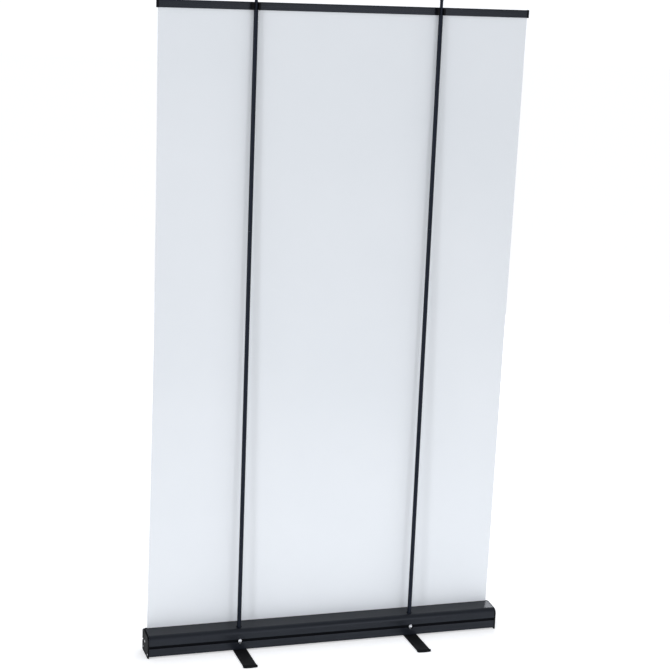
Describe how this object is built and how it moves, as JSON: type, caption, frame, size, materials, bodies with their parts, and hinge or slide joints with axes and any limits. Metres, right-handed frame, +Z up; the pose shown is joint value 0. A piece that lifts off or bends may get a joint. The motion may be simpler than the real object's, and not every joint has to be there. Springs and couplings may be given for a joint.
{
  "type": "roll-up banner stand",
  "caption": "Retractable banner stand: a blank film drawn from a black cassette on swivel feet up to a top rail held by slim rear poles.",
  "frame": {"origin": "on the floor, midway between the pivots of the two swivel feet, under the cassette's centre", "axes": "+Z up; -Y is the way the film's printed side faces; +Y is towards the poles; X runs along the cassette"},
  "size_m": [1.2226, 0.37, 2.1362],
  "materials": {
    "black_aluminium": "satin black anodised extrusion and tube",
    "black_plastic": "moulded, fine matt grain",
    "black_paint": "satin black powder coat",
    "zinc": "bright zinc plate",
    "mill_aluminium": "mill finish",
    "spring_steel": "oiled spring wire",
    "pile": "dense black pile",
    "film": "blank matt white film, slightly cool"
  },
  "bodies": {
    "base": {"cassette_body": "black_aluminium", "wiper_pile_front": "pile", "wiper_pile_rear": "pile", "end_cap_left": "black_plastic", "end_cap_right": "black_plastic", "cap_screw_left_front": "zinc", "cap_screw_left_rear": "zinc", "cap_screw_right_front": "zinc", "cap_screw_right_rear": "zinc", "idle_pin": "zinc", "spring_shaft": "zinc", "spring_anchor": "black_plastic", "torsion_spring": "spring_steel", "pole_socket_left": "black_plastic", "pole_socket_right": "black_plastic", "socket_screw_left": "zinc", "socket_screw_right": "zinc", "banner_film": "film"},
    "roller": {"roller_tube": "mill_aluminium", "leader_turns": "film", "roller_plug_left": "black_plastic", "roller_plug_right": "black_plastic"},
    "rail": {"rail_front": "black_aluminium", "rail_rear": "black_aluminium", "rail_end_left": "black_plastic", "rail_end_right": "black_plastic", "rail_clip_left": "black_plastic", "rail_clip_right": "black_plastic"},
    "pole_left_lower": {"pole_foot_plug_left": "black_plastic", "pole_lower_left": "black_aluminium", "ferrule_middle_left": "mill_aluminium"},
    "pole_left_middle": {"pole_middle_left": "black_aluminium", "ferrule_upper_left": "mill_aluminium"},
    "pole_left_upper": {"pole_upper_left": "black_aluminium", "pole_peg_left": "black_aluminium", "pole_cap_left": "black_plastic"},
    "pole_right_lower": {"pole_foot_plug_right": "black_plastic", "pole_lower_right": "black_aluminium", "ferrule_middle_right": "mill_aluminium"},
    "pole_right_middle": {"pole_middle_right": "black_aluminium", "ferrule_upper_right": "mill_aluminium"},
    "pole_right_upper": {"pole_upper_right": "black_aluminium", "pole_peg_right": "black_aluminium", "pole_cap_right": "black_plastic"},
    "foot_left": {"foot_bar_left": "black_paint", "foot_tip_left_front": "black_plastic", "foot_tip_left_rear": "black_plastic", "pivot_bolt_left": "zinc", "pivot_spacer_left": "black_plastic", "pivot_washer_left": "zinc", "pivot_nut_left": "zinc"},
    "foot_right": {"foot_bar_right": "black_paint", "foot_tip_right_front": "black_plastic", "foot_tip_right_rear": "black_plastic", "pivot_bolt_right": "zinc", "pivot_spacer_right": "black_plastic", "pivot_washer_right": "zinc", "pivot_nut_right": "zinc"}
  },
  "joints": [
    {"name": "rail_lower", "type": "slide", "parent": "base", "child": "rail", "axis": [0, -0.0157, -0.9999], "range_m": [0, 1.994], "deforming": ["banner_film"]},
    {"name": "roller_spin", "type": "hinge", "parent": "base", "child": "roller", "pos_m": [0, -0.0107, 0.04], "axis": [1, 0, 0], "range_deg": [0, 6150]},
    {"name": "pole_left_lift", "type": "slide", "parent": "base", "child": "pole_left_lower", "axis": [0, 0, 1], "range_m": [0, 0.045]},
    {"name": "pole_left_middle_pull", "type": "slide", "parent": "pole_left_lower", "child": "pole_left_middle", "axis": [0, 0, 1], "range_m": [0, 0.06]},
    {"name": "pole_left_upper_pull", "type": "slide", "parent": "pole_left_middle", "child": "pole_left_upper", "axis": [0, 0, 1], "range_m": [0, 0.06]},
    {"name": "pole_right_lift", "type": "slide", "parent": "base", "child": "pole_right_lower", "axis": [0, 0, 1], "range_m": [0, 0.045]},
    {"name": "pole_right_middle_pull", "type": "slide", "parent": "pole_right_lower", "child": "pole_right_middle", "axis": [0, 0, 1], "range_m": [0, 0.06]},
    {"name": "pole_right_upper_pull", "type": "slide", "parent": "pole_right_middle", "child": "pole_right_upper", "axis": [0, 0, 1], "range_m": [0, 0.06]},
    {"name": "foot_left_swivel", "type": "hinge", "parent": "base", "child": "foot_left", "pos_m": [-0.3, 0, 0], "axis": [0, 0, 1], "range_deg": [0, 90]},
    {"name": "foot_right_swivel", "type": "hinge", "parent": "base", "child": "foot_right", "pos_m": [0.3, 0, 0], "axis": [0, 0, 1], "range_deg": [-90, 0]}
  ],
  "couplings": [
    {"joint": "roller_spin", "follows": "rail_lower", "rad_per_m": 53.5}
  ]
}
